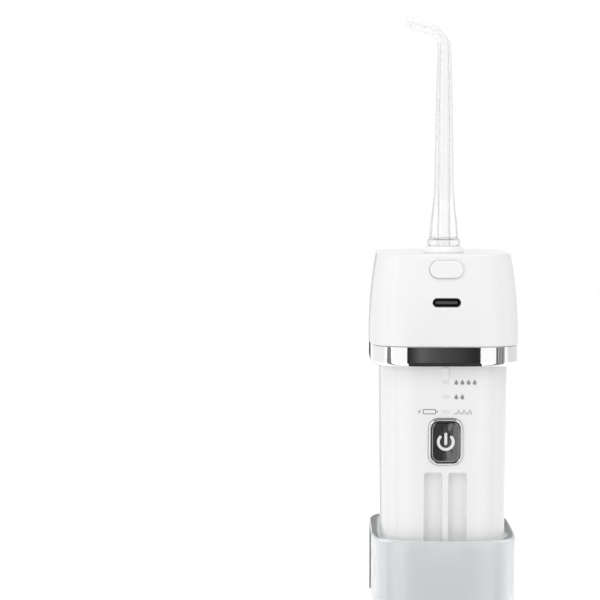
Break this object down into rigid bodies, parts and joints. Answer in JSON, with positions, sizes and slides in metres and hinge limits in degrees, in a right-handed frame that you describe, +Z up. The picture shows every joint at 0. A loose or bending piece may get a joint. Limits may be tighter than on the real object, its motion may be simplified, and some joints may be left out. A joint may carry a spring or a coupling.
{
  "type": "collapsible water flosser",
  "caption": "Cordless water flosser: a handle with pump, battery, controls and an angled jet nozzle slides down into its cup-shaped water tank.",
  "frame": {"origin": "centre of the base pad's underside, on the surface the flosser stands on", "axes": "+Z up along the sliding direction; -Y is the front with the controls; +X is to the right seen from the front"},
  "size_m": [0.048, 0.0584, 0.2739],
  "materials": {
    "white_plastic": "fine satin white ABS",
    "inner_plastic": "plain moulded, natural grey",
    "tank_plastic": "milky translucent, smooth",
    "clear_plastic": "clear, polished",
    "chrome": "mirror-plated plastic",
    "dark_chrome": "smoked mirror plating",
    "steel": "plain stainless",
    "silicone": "soft matt",
    "black_plastic": "matt black",
    "board": "solder-masked laminate",
    "cell": "can in a blue heat-shrink wrap"
  },
  "bodies": {
    "tank": {"tank_shell": "tank_plastic", "base_pad": "silicone", "suction_filter": "silicone", "suction_tube": "clear_plastic", "fill_door_pin": "steel"},
    "fill_door": {"fill_door_lid": "white_plastic", "fill_door_plug": "silicone"},
    "handle": {"handle_shell": "white_plastic", "handle_end_cap": "white_plastic", "tank_seal": "silicone", "end_cap_screw_1": "steel", "end_cap_screw_2": "steel", "end_cap_screw_3": "steel", "chrome_band": "chrome", "head_gasket": "silicone", "head_shell": "white_plastic", "head_screw_1": "steel", "head_screw_2": "steel", "chassis": "inner_plastic", "power_button_bezel": "chrome", "button_membrane": "silicone", "light_guide": "clear_plastic", "tact_switch": "black_plastic", "mode_led_1": "clear_plastic", "mode_led_2": "clear_plastic", "mode_led_3": "clear_plastic", "control_board": "board", "usb_socket": "black_plastic", "usb_tongue": "black_plastic", "charge_board": "board", "battery": "cell", "motor": "steel", "crank_axle": "steel", "pump_cylinder": "clear_plastic", "valve_plate": "inner_plastic", "valve_block": "inner_plastic", "suction_guide": "clear_plastic", "inlet_hose": "clear_plastic", "nozzle_socket": "inner_plastic", "release_spring": "steel"},
    "power_button": {"power_button_cap": "dark_chrome"},
    "release": {"release_button": "white_plastic", "release_latch": "inner_plastic"},
    "dial": {"rotation_dial": "white_plastic", "dial_o_ring": "black_plastic"},
    "nozzle": {"nozzle": "clear_plastic", "nozzle_o_ring": "black_plastic"},
    "crank": {"crank_gear": "inner_plastic"},
    "rotor": {"motor_pinion": "steel"},
    "rod": {"connecting_rod": "inner_plastic"},
    "piston": {"piston": "inner_plastic", "piston_o_ring": "black_plastic"},
    "inlet_disc": {"inlet_valve": "silicone"},
    "outlet_disc": {"outlet_valve": "silicone"}
  },
  "joints": [
    {"name": "handle_slide", "type": "slide", "parent": "tank", "child": "handle", "axis": [0, 0, 1], "range_m": [-0.055, 0]},
    {"name": "fill_door_hinge", "type": "hinge", "parent": "tank", "child": "fill_door", "pos_m": [0, 0.0291, 0.0334], "axis": [-1, 0, 0], "range_deg": [0, 120]},
    {"name": "power_press", "type": "slide", "parent": "handle", "child": "power_button", "axis": [0, 1, 0], "range_m": [0, 0.0008], "stiffness_N_per_m": 1500},
    {"name": "release_press", "type": "slide", "parent": "handle", "child": "release", "axis": [0, 1, 0], "range_m": [0, 0.0015], "stiffness_N_per_m": 1200, "deforming": ["release_spring"]},
    {"name": "dial_turn", "type": "hinge", "parent": "handle", "child": "dial", "pos_m": [0, -0.009, 0.199], "axis": [0, 0, 1], "continuous": true},
    {"name": "nozzle_pull", "type": "slide", "parent": "dial", "child": "nozzle", "axis": [0, 0, 1], "range_m": [0, 0.024]},
    {"name": "crank_turn", "type": "hinge", "parent": "handle", "child": "crank", "pos_m": [0, 0.013, 0.1511], "axis": [0, 1, 0], "continuous": true},
    {"name": "rotor_turn", "type": "hinge", "parent": "handle", "child": "rotor", "pos_m": [0, 0, 0.1355], "axis": [0, 1, 0], "continuous": true},
    {"name": "rod_pivot", "type": "hinge", "parent": "crank", "child": "rod", "pos_m": [0, 0.008, 0.1536], "axis": [0, 1, 0], "continuous": true},
    {"name": "piston_stroke", "type": "slide", "parent": "handle", "child": "piston", "axis": [0, 0, 1], "range_m": [-0.005, 0]},
    {"name": "inlet_valve_lift", "type": "slide", "parent": "handle", "child": "inlet_disc", "axis": [0, 0, 1], "range_m": [0, 0.0004]},
    {"name": "outlet_valve_lift", "type": "slide", "parent": "handle", "child": "outlet_disc", "axis": [0, 0, 1], "range_m": [0, 0.0004]}
  ],
  "couplings": [
    {"joint": "rotor_turn", "follows": "crank_turn", "ratio": -3.3333},
    {"joint": "rod_pivot", "follows": "crank_turn", "ratio": -1}
  ]
}
